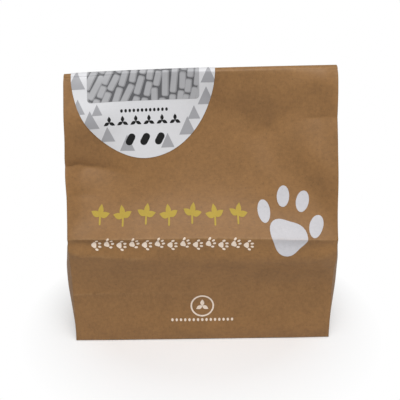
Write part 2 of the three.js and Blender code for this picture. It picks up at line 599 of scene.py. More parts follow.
    def place(self, x: np.ndarray, y: np.ndarray, z: np.ndarray) -> np.ndarray:
        """Settles points of the square bag into its real stance.

        Args:
            x: Positions across the bag.
            y: Positions from front to back.
            z: Heights on the square bag.

        Returns:
            The points, with the base's edge rounded, the ridge arched, the top askew, and the left
            side a little further out where the front is pressed in.
        """
        x, y, z = (np.asarray(a, float) for a in np.broadcast_arrays(x, y, z))
        low = np.clip(1.0 - z / self.base_round, 0.0, 1.0)
        inset = self.base_round * (1.0 - np.sqrt(np.maximum(0.0, 1.0 - low**2)))
        rise = np.maximum(0.0, (z - self.fill) / (self.height - self.fill)) ** 2
        to_left = (self.panel_half - x) / (2.0 * self.panel_half)
        bow = 1.0 - (x / self.panel_half) ** 2
        ridge = self.ridge_arch * bow - self.ridge_tilt * x / self.panel_half
        near_ridge = bell(z - self.fill, self.ridge_reach) * smooth(z / self.ridge_foot)
        arch = self.top_arch * bow * (1.0 - self.arch_tilt * x / self.panel_half)
        up = z - self.top_skew * to_left * rise + ridge * near_ridge + arch * rise
        bulge = self.side_bulge * bell(z - self.side_bulge_level, self.side_bulge_reach)
        at_left = smooth((-x - self.panel_half) / self.side_bulge_width + 1.0)
        drift = self.top_drift * np.sqrt(rise) - bulge * at_left
        return np.stack([
            x * (1.0 - inset / self.panel_half) + drift,
            y * (1.0 - inset / self.gusset_half),
            up,
        ], axis=-1)

    def skin(self, x: np.ndarray, run: np.ndarray) -> np.ndarray:
        """Points of the outer paper, up the front, over the roll and down the back.

        Args:
            x: Positions across the bag.
            run: Distance along the paper from the top of the roll, negative on the front.

        Returns:
            The points on the paper.
        """
        x, run = (np.asarray(a, float) for a in np.broadcast_arrays(x, run))
        z = self.neck - (np.abs(run) - self.roll_quarter)
        level = np.minimum(z, self.neck)
        landing = self.mouth_edge - self.label_bridge
        turn = np.clip(run / self.roll_radius, -math.pi / 2, math.pi / 2) + math.pi / 2
        roll_y, roll_z = self.roll(x, self.roll_radius, turn)
        share = np.clip((self.mouth_edge - level) / self.label_bridge, 0.0, 1.0)
        edge_y = self.flap_outside_y(x, np.full_like(x, self.mouth_edge))
        landing_y = self.back_y(x, np.full_like(x, landing))
        bridge_y = edge_y * (1.0 - share) + landing_y * share
        behind = np.where(level >= self.mouth_edge, self.flap_outside_y(x, level), bridge_y)
        behind = np.where(level <= landing, self.back_y(x, level), behind)
        y = np.where(run < 0, self.front_y(x, level), behind)
        rolling = np.abs(run) < self.roll_quarter
        return self.place(x, np.where(rolling, roll_y, y), np.where(rolling, roll_z, z))

    def skin_lifted(self, x: np.ndarray, run: np.ndarray, lift: float) -> np.ndarray:
        """Points at a set distance off the outer paper.

        Args:
            x: Positions across the bag.
            run: Distance along the paper from the top of the roll.
            lift: The distance off the paper.

        Returns:
            The lifted points.
        """
        step = 0.35
        across = self.skin(x + step, run) - self.skin(x - step, run)
        along = self.skin(x, run + step) - self.skin(x, run - step)
        normal = np.cross(across, along)
        normal /= np.linalg.norm(normal, axis=-1, keepdims=True)
        return self.skin(x, run) + normal * lift

    def front_run(self, z: np.ndarray | float) -> np.ndarray | float:
        """The distance along the paper of a height on the front."""
        return z - self.neck - self.roll_quarter


@dataclass
class SheetMesh:
    """Gathers grids of points into one welded mesh that carries its wear."""

    points: list[np.ndarray] = field(default_factory=list)
    faces: list[np.ndarray] = field(default_factory=list)
    worn: list[np.ndarray] = field(default_factory=list)
    count: int = 0

    def add_grid(self, grid: np.ndarray, worn: np.ndarray | float = 0.0, flip: bool = False) -> None:
        """Adds a grid of quads.

        Args:
            grid: Points by row and column. Faces look along column direction times row direction.
            worn: Wear of each point.
            flip: Turns the faces round.
        """
        rows, columns = grid.shape[:2]
        number = np.arange(rows * columns).reshape(rows, columns) + self.count
        quads = np.stack([number[:-1, :-1], number[:-1, 1:], number[1:, 1:], number[1:, :-1]], -1)
        quads = quads.reshape(-1, 4)
        self.faces.append(quads[:, ::-1] if flip else quads)
        self.points.append(grid.reshape(-1, 3))
        self.worn.append(np.broadcast_to(worn, (rows, columns)).reshape(-1))
        self.count += rows * columns

    def build(self, name: str, material: bpy.types.Material) -> bpy.types.Object:
        """Makes the welded object.

        Args:
            name: Name of the piece.
            material: Its finish.

        Returns:
            The new object, in metres.
        """
        points = np.concatenate(self.points)
        worn = np.concatenate(self.worn)
        keys = np.round(points, 3)
        first, where = np.unique(keys, axis=0, return_index=True, return_inverse=True)[1:]
        faces = where.reshape(-1)[np.concatenate(self.faces)]
        mesh = bpy.data.meshes.new(name)
        mesh.from_pydata((points[first] * MM).tolist(), [], without_repeats(faces))
        mesh.update()
        layer = mesh.attributes.new("fold_wear", "FLOAT", "POINT")
        layer.data.foreach_set("value", worn[first].astype(np.float32))
        return finished_piece(mesh, name, material)


def without_repeats(faces: np.ndarray) -> list[list[int]]:
    """Drops doubled corners, and faces that a weld has closed up.

    Args:
        faces: Four corner numbers for each face.

    Returns:
        Faces of three or four different corners.
    """
    kept = []
    for face in faces.tolist():
        corners = list(dict.fromkeys(face))
        if len(corners) > 2:
            kept.append(corners)
    return kept


def finished_piece(
    mesh: bpy.types.Mesh, name: str, material: bpy.types.Material
) -> bpy.types.Object:
    """Shades a mesh and puts it into the scene as a piece.

    Args:
        mesh: The mesh, in metres.
        name: Name of the piece.
        material: Its finish.

    Returns:
        The new object.
    """
    mesh.validate()
    mesh.polygons.foreach_set("use_smooth", [True] * len(mesh.polygons))
    mesh.set_sharp_from_angle(angle=SHARP_ANGLE)
    mesh.materials.append(material)
    piece = bpy.data.objects.new(name, mesh)
    bpy.context.scene.collection.objects.link(piece)
    return piece


def dense_steps(start: float, end: float, wide: float, fine: float, lines: Sequence[float]) -> np.ndarray:
    """Steps that are fine near the given lines and wide elsewhere.

    Args:
        start: First value.
        end: Last value.
        wide: The usual step.
        fine: The step at a line.
        lines: Values near which the steps are fine. Each is hit exactly.

    Returns:
        Rising values from start to end.
    """
    reach = 7.0
    stops = sorted({start, end, *(line for line in lines if start < line < end)})
    values: list[float] = [start]
    for low, high in zip(stops, stops[1:]):
        ends = []
        here = low
        while here < high:
            ends.append(here)
            near = min([abs(here - line) for line in lines] + [reach])
            here += fine + (wide - fine) * near / reach
        inner = np.array(ends[1:])
        if len(inner):
            scale = (high - low) / (here - low)
            values.extend((low + (inner - low) * scale).tolist())
        values.append(high)
    return np.array(values)


@dataclass
class PaperBag:
    """The folded and filled bag, from the base up over the roll and down its flap."""

    form: BagForm
    plies: int = 4
    ply_groove: float = 0.35
    bottom_lap: float = 12.4
    hem: float = 2.5
    end_flap_step: float = 0.35
    lap_step: float = 0.3
    step_width: float = 0.8
    diagonal_width: float = 0.9
    roll_turns: int = 13
    buckle_levels: tuple[float, ...] = (134.0, 164.5, 206.0)
    column_steps: tuple[float, float] = (2.0, 0.5)
    level_steps: tuple[float, float] = (2.2, 0.45)
    gusset_steps: tuple[float, float] = (2.4, 0.6)
    flap_steps: tuple[float, float] = (2.2, 0.5)
    fold_wear: float = 0.3
    fold_width: float = 0.7
    foot_wear: float = 0.8
    foot_width: float = 1.2
    neck_wear: float = 0.2
    neck_width: float = 2.0
    tuck_wear: float = 0.5
    tuck_wear_from: float = 40.0
    tuck_wear_reach: float = 30.0
    mouth_wear: float = 0.7
    end_wear: float = 0.6
    rim_wear: float = 0.8

    def columns(self) -> np.ndarray:
        """Positions across the panels, close together at the side folds and the back's seam."""
        half = self.form.panel_half
        return dense_steps(-half, half, *self.column_steps, (-half, half, self.form.seam_at))

    def levels(self) -> np.ndarray:
        """Heights up the panels, close together at the folds."""
        folds = (0.0, self.form.gusset_half, self.form.fill, *self.buckle_levels, self.form.neck)
        return dense_steps(0.0, self.form.neck, *self.level_steps, folds)

    def gusset_shares(self) -> np.ndarray:
        """Positions across a gusset, from -1 at the front fold to 1 at the back fold."""
        half = self.form.gusset_half
        return dense_steps(-half, half, *self.gusset_steps, (-half, 0.0, self.bottom_lap, half)) / half

    def ply_profile(self) -> tuple[np.ndarray, np.ndarray]:
        """The stacked edges of the mouth's layers.

        Returns:
            Positions through the stack, from 0 to 1, and how far the edge is drawn back there.
        """
        through = np.linspace(0.0, 1.0, self.plies * 4 + 1)
        between = np.abs(np.sin(through * math.pi * self.plies)) < 0.1
        between[[0, -1]] = False
        return through, np.where(between, self.ply_groove, 0.0)

    def panel_grid(
        self, x: np.ndarray, z: np.ndarray, y_at: Callable[[np.ndarray, np.ndarray], np.ndarray]
    ) -> np.ndarray:
        """Points of one panel, by level and column."""
        across, up = np.meshgrid(x, z)
        return self.form.place(across, y_at(across, up), up)

    def panel_wear(self, x: np.ndarray, z: np.ndarray, relief: Relief) -> np.ndarray:
        """Wear of one panel, along its creases and its edges.

        Args:
            x: Positions of the columns.
            z: Heights of the levels.
            relief: The panel's folds.

        Returns:
            The wear, by level and column, from 0 to 1.
        """
        across, up = np.meshgrid(x, z)
        side = self.fold_wear * bell(self.form.panel_half - np.abs(across), self.fold_width)
        foot = self.foot_wear * bell(up, self.foot_width)
        neck = self.neck_wear * bell(self.form.neck - up, self.neck_width)
        return np.clip(relief.wear(across, up) + side + foot + neck, 0.0, 1.0)

    def roll_rows(self, x: np.ndarray, radius: float, turns: np.ndarray) -> np.ndarray:
        """Points of the roll over the top, by turn and column."""
        across, turn = np.meshgrid(x, turns)
        return self.form.place(across, *self.form.roll(across, radius, turn))

    def add_panels(self, sheet: SheetMesh) -> None:
        """Adds the front and back panels.

        Args:
            sheet: The mesh that takes them.
        """
        x, z = self.columns(), self.levels()
        for y_at, relief, is_back in (
            (self.form.front_y, FRONT_RELIEF, False),
            (self.form.back_y, BACK_RELIEF, True),
        ):
            sheet.add_grid(self.panel_grid(x, z, y_at), self.panel_wear(x, z, relief), flip=is_back)

    def add_mouth(self, sheet: SheetMesh) -> None:
        """Adds the roll, the flap, and the layers' edges at its ends and along the mouth.

        Args:
            sheet: The mesh that takes them.
        """
        x = self.columns()
        turns = np.linspace(0.0, math.pi, self.roll_turns)
        edge = -self.form.mouth_edge
        down = -dense_steps(-self.form.neck, edge, *self.flap_steps, (edge,))[1:]
        outer = np.concatenate([
            self.roll_rows(x, self.form.roll_radius, turns),
            self.panel_grid(x, down, self.form.flap_outside_y),
        ])
        inner = np.concatenate([
            self.roll_rows(x, self.form.flap_gap / 2, turns),
            self.panel_grid(x, down, self.form.flap_inside_y),
        ])
        edge_wear = np.zeros(outer.shape[:2])
        edge_wear[:self.roll_turns] = self.neck_wear
        edge_wear[-2:] = self.mouth_wear
        sheet.add_grid(outer, edge_wear)
        sheet.add_grid(inner, 0.0, flip=True)
        through, drawn_back = self.ply_profile()
        for column, side in ((0, 1.0), (-1, -1.0)):
            near, far = outer[:, None, column], inner[:, None, column]
            ends = near * (1 - through)[None, :, None] + far * through[None, :, None]
            ends[1:, :, 0] += side * drawn_back
            sheet.add_grid(ends, self.end_wear, flip=column == 0)
        rim = outer[-1][None] * (1 - through)[:, None, None] + inner[-1][None] * through[:, None, None]
        rim[:, :, 2] += drawn_back[:, None]
        sheet.add_grid(rim, self.rim_wear)

    def add_gusset(self, sheet: SheetMesh, side: int, relief: Relief) -> None:
        """Adds one side gusset, swollen below the filling's level and tucked in above it.

        Args:
            sheet: The mesh that takes it.
            side: -1 for the left gusset and 1 for the right one.
            relief: Its folds.
        """
        share, z = np.meshgrid(self.gusset_shares(), self.levels())
        edge = np.full_like(z, side * self.form.panel_half)
        front, back = self.form.front_y(edge, z), self.form.back_y(edge, z)
        y = front + (back - front) * (share + 1.0) / 2.0
        held = (1.0 - np.abs(share) ** 5) * self.form.free(np.zeros_like(z), z)
        slack = np.sqrt(1.0 - self.form.slack_share(z))
        across = share * self.form.gusset_half
        buckled = relief.lift(across, z) * held * slack
        out = self.form.belly(z) * (1.0 - np.abs(share) ** 3) - self.form.tuck(z) * (1.0 - np.abs(share))
        grid = self.form.place(side * (self.form.panel_half + out + buckled), y, z)
        fold = bell(across, self.step_width) * smooth((z - self.tuck_wear_from) / self.tuck_wear_reach)
        ends = bell((1.0 - np.abs(share)) * self.form.gusset_half, self.fold_width)
        worn = relief.wear(across, z) + self.tuck_wear * fold + self.fold_wear * ends
        sheet.add_grid(grid, np.clip(worn, 0.0, 1.0), flip=side < 0)

    def add_base(self, sheet: SheetMesh) -> None:
        """Adds the pasted block bottom, with the steps of its folded flaps.

        Args:
            sheet: The mesh that takes it.
        """
        x, y = np.meshgrid(self.columns(), self.gusset_shares() * self.form.gusset_half)
        grid = self.form.place(x, y, np.zeros_like(x))
        into_end = self.form.panel_half - np.abs(x)
        into_side = self.form.gusset_half - np.abs(y)
        inwards = np.minimum(into_end, into_side)
        end_fold = smooth((into_end - into_side) / self.step_width + 0.5)
        lap = smooth((y - self.bottom_lap) / self.step_width + 0.5)
        tucked = self.end_flap_step * (1.0 - end_fold) + self.lap_step * lap * end_fold
        grid[:, :, 2] += tucked * smooth(inwards / self.hem)
        edge = bell(inwards, self.foot_width)
        diagonal = bell(into_end - into_side, self.diagonal_width)
        folds = diagonal + bell(y - self.bottom_lap, self.step_width) * end_fold
        worn = self.foot_wear * edge + self.foot_wear * folds
        sheet.add_grid(grid, np.clip(worn, 0.0, 1.0), flip=True)

    def build(self, material: bpy.types.Material) -> bpy.types.Object:
        """Makes the whole bag as one mesh.

        Args:
            material: The kraft paper.

        Returns:
            The bag.
        """
        sheet = SheetMesh()
        self.add_panels(sheet)
        self.add_mouth(sheet)
        self.add_gusset(sheet, -1, LEFT_GUSSET_RELIEF)
        self.add_gusset(sheet, 1, RIGHT_GUSSET_RELIEF)
        self.add_base(sheet)
        return sheet.build("bag_paper", material)


def clipped(shape: np.ndarray, window: np.ndarray) -> np.ndarray:
    """The part of a convex outline that lies in a convex window.

    Args:
        shape: Corners of the outline, counter-clockwise.
        window: Corners of the window, counter-clockwise.

    Returns:
        Corners of what is left, none if nothing is.
    """
    kept = [tuple(p) for p in shape]
    for start, end in zip(window, np.roll(window, -1, axis=0)):
        way = end - start
        side = [way[0] * (p[1] - start[1]) - way[1] * (p[0] - start[0]) for p in kept]
        corners = []
        for number, here in enumerate(kept):
            after = (number + 1) % len(kept)
            if side[number] >= 0:
                corners.append(here)
            if (side[number] >= 0) != (side[after] >= 0):
                share = side[number] / (side[number] - side[after])
                corners.append(tuple(np.array(here) + (np.array(kept[after]) - np.array(here)) * share))
        kept = corners
        if not kept:
            break
    return np.array(kept).reshape(-1, 2)


def oval(
    centre: tuple[float, float], radii: tuple[float, float], turn_deg: float = 0.0, count: int = 28
) -> np.ndarray:
    """An oval outline.

    Args:
        centre: Its middle.
        radii: Its half-widths before it is turned.
        turn_deg: Its turn, counter-clockwise.
        count: Number of corners.

    Returns:
        Its corners, counter-clockwise.
    """
    angle = np.linspace(0.0, 2.0 * math.pi, count, endpoint=False)
    flat = np.stack([radii[0] * np.cos(angle), radii[1] * np.sin(angle)], -1)
    return turned(flat, turn_deg) + centre


def turned(shape: np.ndarray, turn_deg: float) -> np.ndarray:
    """An outline turned about its own origin.

    Args:
        shape: Corners of the outline.
        turn_deg: Its turn, counter-clockwise.

    Returns:
        The turned corners.
    """
    turn = math.radians(turn_deg)
    across, up = shape[:, 0], shape[:, 1]
    return np.stack([
        across * math.cos(turn) - up * math.sin(turn),
        across * math.sin(turn) + up * math.cos(turn),
    ], -1)


def rod(centre: tuple[float, float], length: float, width: float, turn_deg: float) -> np.ndarray:
    """A bar with round ends, lying across before it is turned.

    Args:
        centre: Its middle.
        length: Its length over the round ends.
        width: Its width.
        turn_deg: Its turn, counter-clockwise.

    Returns:
        Its corners, counter-clockwise.
    """
    cap = np.linspace(-math.pi / 2, math.pi / 2, 8)
    right = np.stack([np.cos(cap), np.sin(cap)], -1) * width / 2 + ((length - width) / 2, 0.0)
    return turned(np.concatenate([right, -right]), turn_deg) + centre


def leaf(foot: tuple[float, float], length: float, width: float, turn_deg: float) -> np.ndarray:
    """A pointed leaf that grows from its foot in the direction of its turn.

    Args:
        foot: The leaf's lower end.
        length: From the foot to the point.
        width: Across the leaf at its widest.
        turn_deg: Its direction, counter-clockwise from the right.

    Returns:
        Its corners, counter-clockwise.
    """
    t = np.linspace(0.0, 1.0, 13)
    bulge = width / 2 * np.sin(math.pi * t**0.85)
    upper = np.stack([t * length, bulge], -1)
    lower = np.stack([t * length, -bulge], -1)
    return turned(np.concatenate([lower, upper[::-1][1:-1]]), turn_deg) + foot


def paw(centre: tuple[float, float], size: float, turn_deg: float = 0.0) -> list[np.ndarray]:
    """A plain paw print: a three-lobed pad and four toes.

    Args:
        centre: The middle of the print.
        size: Its overall width.
        turn_deg: Its turn, counter-clockwise.

    Returns:
        The outlines of the pad and the toes.
    """
    angle = np.linspace(0.0, 2.0 * math.pi, 40, endpoint=False)
    radius = 0.235 * (1.0 - 0.13 * np.cos(3.0 * (angle - math.pi / 2)))
    pad = np.stack([radius * np.cos(angle) * 1.15, radius * np.sin(angle) - 0.2], -1)
    toes = [(-0.4, 0.05, 18), (-0.15, 0.32, 6), (0.15, 0.32, -6), (0.4, 0.05, -18)]
    shapes = [pad, *(oval((x, y), (0.095, 0.155), lean) for x, y, lean in toes)]
    return [turned(shape * size, turn_deg) + centre for shape in shapes]


def pellet(centre: tuple[float, float], length: float, width: float, turn_deg: float) -> np.ndarray:
    """A bar with blunt, slightly rounded ends, lying across before it is turned.

    Args:
        centre: Its middle.
        length: Its length.
        width: Its width.
        turn_deg: Its turn, counter-clockwise.

    Returns:
        Its corners, counter-clockwise.
    """
    corner = width * 0.3
    quarter = np.linspace(0.0, math.pi / 2, 4)
    round_corner = np.stack([np.cos(quarter), np.sin(quarter)], -1) * corner
    right_top = round_corner + (length / 2 - corner, width / 2 - corner)
    right_low = right_top[::-1] * (1.0, -1.0)
    right = np.concatenate([right_low, right_top])
    return turned(np.concatenate([right, -right]), turn_deg) + centre


def sprig(foot: tuple[float, float], size: float, lean_deg: float) -> list[np.ndarray]:
    """A short stem with three leaves, growing upwards from its foot.

    Args:
        foot: The stem's lower end.
        size: The sprig's rough height.
        lean_deg: How far the leaves are turned, counter-clockwise.

    Returns:
        The outlines of the stem and the leaves.
    """
    stem = rod((foot[0], foot[1] + size * 0.2), size * 0.46, size * 0.1, 90)
    fork = (foot[0], foot[1] + size * 0.38)
    spread = ((90.0, 0.62), (22.0, 0.56), (158.0, 0.56))
    return [stem, *(leaf(fork, size * share, size * 0.3, turn + lean_deg) for turn, share in spread)]


def ring(centre: tuple[float, float], outer: float, inner: float, count: int = 40) -> list[np.ndarray]:
    """A flat ring, as four-cornered pieces side by side.

    Args:
        centre: Its middle.
        outer: Its outer radius.
        inner: Its inner radius.
        count: Number of pieces.

    Returns:
        The outlines of the pieces.
    """
    angle = np.linspace(0.0, 2.0 * math.pi, count + 1)
    spokes = np.stack([np.cos(angle), np.sin(angle)], -1)
    return [
        np.array([here * inner, here * outer, after * outer, after * inner]) + centre
        for here, after in zip(spokes, spokes[1:])
    ]


@dataclass
class PrintLayer:
    """Flat inked shapes laid on the bag's outer paper."""

    name: str
    material: bpy.types.Material
    form: BagForm
    lift: float
    cell: float = 2.0
    fold_cell: float = 0.4
    cut_tolerance: float = 1e-5

    def build(self, shapes: Sequence[np.ndarray]) -> bpy.types.Object:
        """Cuts the shapes into cells and lays them on the paper.

        Args:
            shapes: Outlines that can be seen whole from their middles, as x and run.

        Returns:
            The printed piece.
        """
        flat = bmesh.new()
        for shape in shapes:
            self.add_fan(flat, shape)
        corners = np.array([v.co[:2] for v in flat.verts])
        for axis in (0, 1):
            low, high = corners[:, axis].min(), corners[:, axis].max()
            folds = self.form.run_folds if axis else ()
            lines = dense_steps(low, high, self.cell, self.fold_cell, folds)[1:-1]
            normal = Vector((1.0 - axis, axis, 0.0))
            for line in lines:
                everything = [*flat.verts, *flat.edges, *flat.faces]
                bmesh.ops.bisect_plane(
                    flat, geom=everything, dist=self.cut_tolerance, plane_co=normal * line, plane_no=normal
                )
        mesh = bpy.data.meshes.new(self.name)
        flat.to_mesh(mesh)
        flat.free()
        place = np.array([v.co[:2] for v in mesh.vertices])
        laid = self.form.skin_lifted(place[:, 0], place[:, 1], self.lift)
        mesh.vertices.foreach_set("co", (laid * MM).astype(np.float32).reshape(-1))
        mesh.update()
        z = place[:, 1] + self.form.neck + self.form.roll_quarter
        worn = FRONT_RELIEF.wear(place[:, 0], z) * (place[:, 1] < 0)
        layer = mesh.attributes.new("fold_wear", "FLOAT", "POINT")
        layer.data.foreach_set("value", worn.astype(np.float32))
        return finished_piece(mesh, self.name, self.material)

    @staticmethod
    def add_fan(flat: bmesh.types.BMesh, shape: np.ndarray) -> None:
        """Adds one outline as triangles about its middle.

        Args:
            flat: The mesh that takes it.
            shape: Its corners, counter-clockwise.
        """
        if len(shape) < 3:
            return
        middle = flat.verts.new((*shape.mean(axis=0), 0.0))
        corners = [flat.verts.new((*corner, 0.0)) for corner in shape]
        for here, after in zip(corners, corners[1:] + corners[:1]):
            flat.faces.new((middle, here, after))


@dataclass
class FrontPrint:
    """The print on the bag's front: generic sprigs, paw prints and a plain round mark."""

    form: BagForm
    lift: float = 0.16
    sprig_row: tuple[float, float, int] = (-92.0, 20.6, 7)
    sprig_foot: float = 113.5
    sprig_size: float = 16.0
    sprig_lean: float = 9.0
    sprig_stagger: float = 1.1
    paw_row: tuple[float, float, int] = (-94.5, 11.2, 13)
    paw_row_height: float = 99.0
    paw_stagger: float = 0.8
    paw_turn: float = -80.0
    paw_swing: float = 10.0
    small_paw: float = 9.6
    large_paw: float = 59.0
    large_paw_centre: tuple[float, float] = (77.5, 115.5)
    large_paw_turn: float = -12.0
    mark_centre: tuple[float, float] = (-0.8, 35.2)
    mark_radius: float = 11.0
    mark_line: float = 1.5
    mark_leaf: tuple[float, float] = (6.6, 3.8)
    dot_row: tuple[float, float, int] = (-28.8, 4.0, 15)
    dot_height: float = 21.2
    dot_radii: tuple[float, float] = (1.15, 1.5)

    def on_paper(self, shapes: Sequence[np.ndarray]) -> list[np.ndarray]:
        """Moves outlines from heights on the front to distances along the paper."""
        shift = self.form.front_run(0.0)
        return [shape + (0.0, shift) for shape in shapes]

    def yellow_shapes(self) -> list[np.ndarray]:
        """The row of sprigs.

        Returns:
            Their outlines, as positions across and heights on the front.
        """
        start, pitch, count = self.sprig_row
        shapes = []
        for number in range(count):
            foot = (start + pitch * number, self.sprig_foot - self.sprig_stagger * (number % 2))
            shapes += sprig(foot, self.sprig_size, self.sprig_lean if number % 2 else -self.sprig_lean)
        return shapes

    def cream_shapes(self) -> list[np.ndarray]:
        """The row of small paw prints, the round mark and its dots.

        Returns:
            Their outlines, as positions across and heights on the front.
        """
        shapes = []
        start, pitch, count = self.paw_row
        for number in range(count):
            side = 1.0 if number % 2 else -1.0
            centre = (start + pitch * number, self.paw_row_height + self.paw_stagger * side)
            shapes += paw(centre, self.small_paw, self.paw_turn + self.paw_swing * side)
        shapes += ring(self.mark_centre, self.mark_radius, self.mark_radius - self.mark_line)
        shapes += [leaf(self.mark_centre, *self.mark_leaf, turn) for turn in THREE_WAYS]
        start, pitch, count = self.dot_row
        for number in range(count):
            centre = (start + pitch * number, self.dot_height)
            shapes.append(oval(centre, self.dot_radii, 0.0, DOT_CORNERS))
        return shapes

    def build(self, inks: dict[Ink, bpy.types.Material]) -> list[bpy.types.Object]:
        """Makes the printed pieces.

        Args:
            inks: The material of each ink.

        Returns:
            The pieces.
        """
        layers = (
            ("front_yellow_print", Ink.YELLOW, self.yellow_shapes()),
            (
                "front_white_print", Ink.WHITE,
                paw(self.large_paw_centre, self.large_paw, self.large_paw_turn),
            ),
            ("front_cream_print", Ink.CREAM, self.cream_shapes()),
        )
        return [
            PrintLayer(name, inks[ink], self.form, self.lift).build(self.on_paper(shapes))
            for name, ink, shapes in layers
        ]


@dataclass
class TopLabel:
    """The oval label over the fold, with its picture field, triangles and small shapes."""

    form: BagForm
    centre: float
    half_width: float
    drop_below_top: float = 79.0
    glue: float = 0.22
    thickness: float = 0.2
    field_half: tuple[float, float] = (49.0, 28.7)
    field_round: float = 3.2
    triangle: tuple[float, float] = (15.0, 16.5)
    pellet_width: float = 6.2
    pellet_gap: float = 0.85
    pellet_lean: float = 74.0
    pellet_swing: float = 9.0
    pellet_swing_span: float = 17.0
    pellet_stray: float = 0.7
    pellet_turn: float = 4.5
    pellet_lengths: tuple[float, float] = (10.0, 25.0)
    pellet_row_starts: tuple[float, float] = (4.0, 22.0)
    pellet_end_gap: float = 1.4
    pellet_overrun: float = 8.0
    pellet_spare_rows: int = 4
    pellet_seed: int = 5
    pellet_shade: float = 1.6
    pellet_lit_shift: float = 0.3
    dot_row: tuple[float, float, int] = (-20.0, 3.6, 12)
    dot_radii: tuple[float, float] = (1.15, 1.6)
    star_row: tuple[float, float, int] = (-31.0, 11.6, 6)
    star_leaf: tuple[float, float] = (5.6, 3.0)
    bar_row: tuple[float, float, int] = (-13.0, 13.0, 3)
    bar_size: tuple[float, float] = (11.5, 6.4)
    bar_turn: float = 62.0
    row_drops: tuple[float, float, float] = (37.3, 47.2, 63.6)
    rows: int = 120
    columns: int = 72
    outline_corners: int = 72
    tip_share: float = 0.998
    roll_reach: float = 9.0
    roll_steps: tuple[float, float] = (1.2, 0.35)

    @classmethod
    def from_frame(cls, form: BagForm) -> TopLabel:
        """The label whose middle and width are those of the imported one."""
        low, high = (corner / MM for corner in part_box("top_label"))
        return cls(form, (low.x + high.x) / 2, (high.x - low.x) / 2)

    @property
    def drop(self) -> float:
        """The length of the label's paper from the top of the roll to its tip."""
        return self.drop_below_top - self.form.roll_radius + self.form.roll_quarter

    def outline(self) -> np.ndarray:
        """The label's outline, as x and run."""
        return oval((self.centre, 0.0), (self.half_width, self.drop), 0.0, self.outline_corners)

    def sheet_grid(self, lift: float) -> np.ndarray:
        """Points of one face of the label.

        Args:
            lift: How far the face stands off the bag's paper.

        Returns:
            The points, by row and column.
        """
        reach = self.roll_reach
        even = np.sin(np.linspace(-math.pi / 2, math.pi / 2, self.rows + 1) * self.tip_share) * self.drop
        over_roll = dense_steps(-reach, reach, *self.roll_steps, self.form.run_folds)
        run = np.concatenate([even[even < -reach], over_roll, even[even > reach]])
        share = np.sin(np.linspace(-math.pi / 2, math.pi / 2, self.columns + 1))[None, :]
        x = self.centre + self.half_width * np.sqrt(1.0 - (run / self.drop) ** 2)[:, None] * share
        return self.form.skin_lifted(x, run[:, None] + 0.0 * share, lift)

    def build_sheet(self, material: bpy.types.Material) -> bpy.types.Object:
        """Makes the label's own sheet.

        Args:
            material: The label paper.

        Returns:
            The sheet.
        """
        outer, inner = self.sheet_grid(self.glue + self.thickness), self.sheet_grid(self.glue)
        sheet = SheetMesh()
        sheet.add_grid(outer)
        sheet.add_grid(inner, flip=True)
        sheet.add_grid(np.stack([outer[:, 0], inner[:, 0]], 1), flip=True)
        sheet.add_grid(np.stack([outer[:, -1], inner[:, -1]], 1))
        sheet.add_grid(np.stack([inner[0], outer[0]], 0))
        sheet.add_grid(np.stack([outer[-1], inner[-1]], 0))
        return sheet.build("label_sheet", material)

    def field(self) -> np.ndarray:
        """The picture's rectangle with round corners.

        Returns:
            Its outline, as x and run.
        """
        half_x, half_run = self.field_half
        corner = self.field_round
        quarter = np.linspace(0.0, math.pi / 2, 6)
        shapes = []
        for number, (sx, sy) in enumerate(((1, 1), (-1, 1), (-1, -1), (1, -1))):
            angle = quarter + number * math.pi / 2
            middle = (sx * (half_x - corner), sy * (half_run - corner))
            shapes.append(np.stack([np.cos(angle), np.sin(angle)], -1) * corner + middle)
        return np.concatenate(shapes) + (self.centre, 0.0)

    def pellets(self) -> list[tuple[float, float, float, float]]:
        """Fills the field with rods that lie side by side in leaning rows.

        Returns:
            The centre, length and turn of each rod.
        """
        rng = np.random.default_rng(self.pellet_seed)
        half_x, half_run = self.field_half
        pitch = self.pellet_width + self.pellet_gap
        placed: list[tuple[float, float, float, float]] = []
        spare = self.pellet_spare_rows
        for column in np.arange(-half_x - spare * pitch, half_x + (spare + 1) * pitch, pitch):
            lean = self.pellet_lean + self.pellet_swing * math.sin(column / self.pellet_swing_span)
            way = np.array([math.cos(math.radians(lean)), math.sin(math.radians(lean))])
            along = -half_run - rng.uniform(*self.pellet_row_starts)
            while along < half_run + self.pellet_overrun:
                length = rng.uniform(*self.pellet_lengths)
                middle = np.array([column + self.centre, 0.0]) + way * (along + length / 2)
                aside = rng.uniform(-self.pellet_stray, self.pellet_stray)
                turn = lean + rng.normal(0.0, self.pellet_turn)
                placed.append((middle[0] + aside, middle[1], length, turn))
                along += length + self.pellet_gap * self.pellet_end_gap
        return placed

    def rod_shapes(
        self, rods: Sequence[tuple[float, float, float, float]], width: float, shift: float
    ) -> list[np.ndarray]:
        """Outlines of rods, cut off at the field's edge.

        Args:
            rods: The centre, length and turn of each.
            width: Their width.
            shift: How far they are moved to their lit side.

        Returns:
            The outlines that are left.
        """
        window = self.field()
        shapes = []
        for x, run, length, turn in rods:
            bar = pellet((x - shift, run), length - (self.pellet_width - width), width, turn)
            shapes.append(clipped(bar, window))
        return [shape for shape in shapes if len(shape) > 2]

